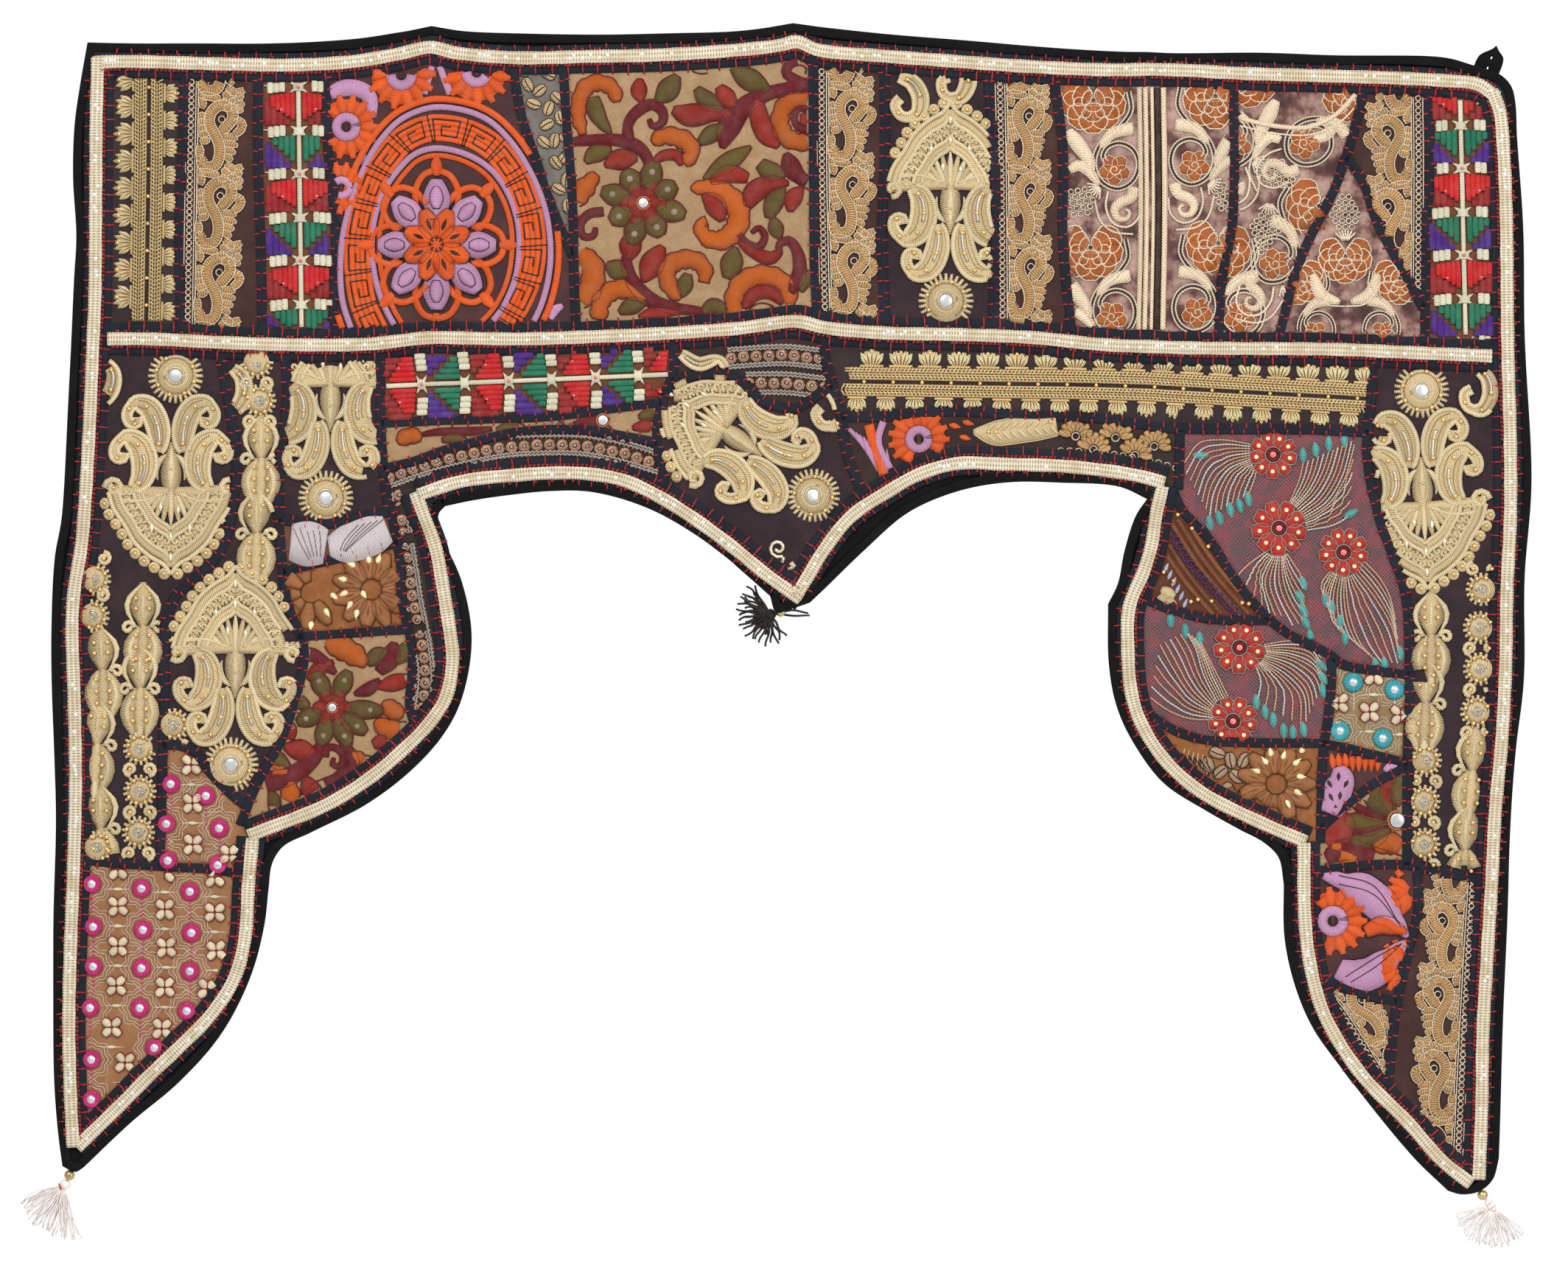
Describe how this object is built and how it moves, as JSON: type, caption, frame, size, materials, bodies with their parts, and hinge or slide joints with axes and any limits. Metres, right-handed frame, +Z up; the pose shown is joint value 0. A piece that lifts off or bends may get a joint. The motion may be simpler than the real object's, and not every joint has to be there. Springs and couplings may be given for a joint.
{
  "type": "patchwork toran door hanging",
  "caption": "Flat embroidered patchwork hanging for the top of a doorway, with a hanging leg at each side, arches, a centre point and tassels.",
  "frame": {"origin": "on the centre fold, at the top edge and the back of the cloth", "axes": "+X to the viewer's right along the top edge, +Y back towards the wall, +Z up; the embroidered front faces -Y"},
  "size_m": [1.0261, 0.023, 0.8314],
  "materials": {
    "black_cloth": "matt cotton",
    "slate_cloth": "matt cotton",
    "woven_braid": "woven braid with a slight sheen",
    "patch_cloth": "embroidered patches of many colours",
    "metal_cord": "couched cord with a soft sheen",
    "silk_floss": "silk floss, satin",
    "mirror_glass": "small round mirrors",
    "sequin": "glossy",
    "gilt_bead": "ridged gilt bead",
    "black_thread": "corded thread",
    "white_thread": "silk floss"
  },
  "bodies": {
    "root": {"ground_cloth": "black_cloth", "edge_binding": "black_cloth", "hanging_tab": "black_cloth", "band_border": "slate_cloth", "band_middle": "slate_cloth", "braid_top": "woven_braid", "braid_right": "woven_braid", "braid_right_leg": "woven_braid", "braid_right_lobe": "woven_braid", "braid_right_arch": "woven_braid", "braid_left_arch": "woven_braid", "braid_left_lobe": "woven_braid", "braid_left_leg": "woven_braid", "braid_left": "woven_braid", "braid_middle": "woven_braid", "join_gold_lace": "slate_cloth", "join_lace_cross": "slate_cloth", "join_cross_medallion": "slate_cloth", "join_medallion_net": "slate_cloth", "join_net_crewel": "slate_cloth", "join_crewel_lace": "slate_cloth", "join_lace_paisley": "slate_cloth", "join_paisley_lace": "slate_cloth", "join_lace_cutwork": "slate_cloth", "join_cutwork": "slate_cloth", "join_cutwork_wedge": "slate_cloth", "join_lace_cross_right": "slate_cloth", "join_wedge_lace": "slate_cloth", "join_mirrors": "slate_cloth", "join_fans": "slate_cloth", "join_fan_patches": "slate_cloth", "join_under_fan": "slate_cloth", "join_long_left": "slate_cloth", "join_satin_top": "slate_cloth", "join_satin_bottom": "slate_cloth", "join_copper_crewel": "slate_cloth", "join_centre_left": "slate_cloth", "join_cross_crewel": "slate_cloth", "join_crewel_sequins": "slate_cloth", "join_centre_right": "slate_cloth", "join_centre_top": "slate_cloth", "join_leg_top": "slate_cloth", "join_right_fan": "slate_cloth", "join_gold_below": "slate_cloth", "join_net_corner": "slate_cloth", "join_net_left": "slate_cloth", "join_net_lower": "slate_cloth", "join_mirror_left": "slate_cloth", "join_net_bottom": "slate_cloth", "join_mirror_bottom": "slate_cloth", "join_suzani_crewel": "slate_cloth", "join_leg_side": "slate_cloth", "join_leg_low": "slate_cloth", "bead_centre": "gilt_bead", "bead_left": "gilt_bead", "bead_right": "gilt_bead", "tassel_centre": "black_thread", "tassel_left": "white_thread", "tassel_right": "white_thread"}
  },
  "joints": []
}
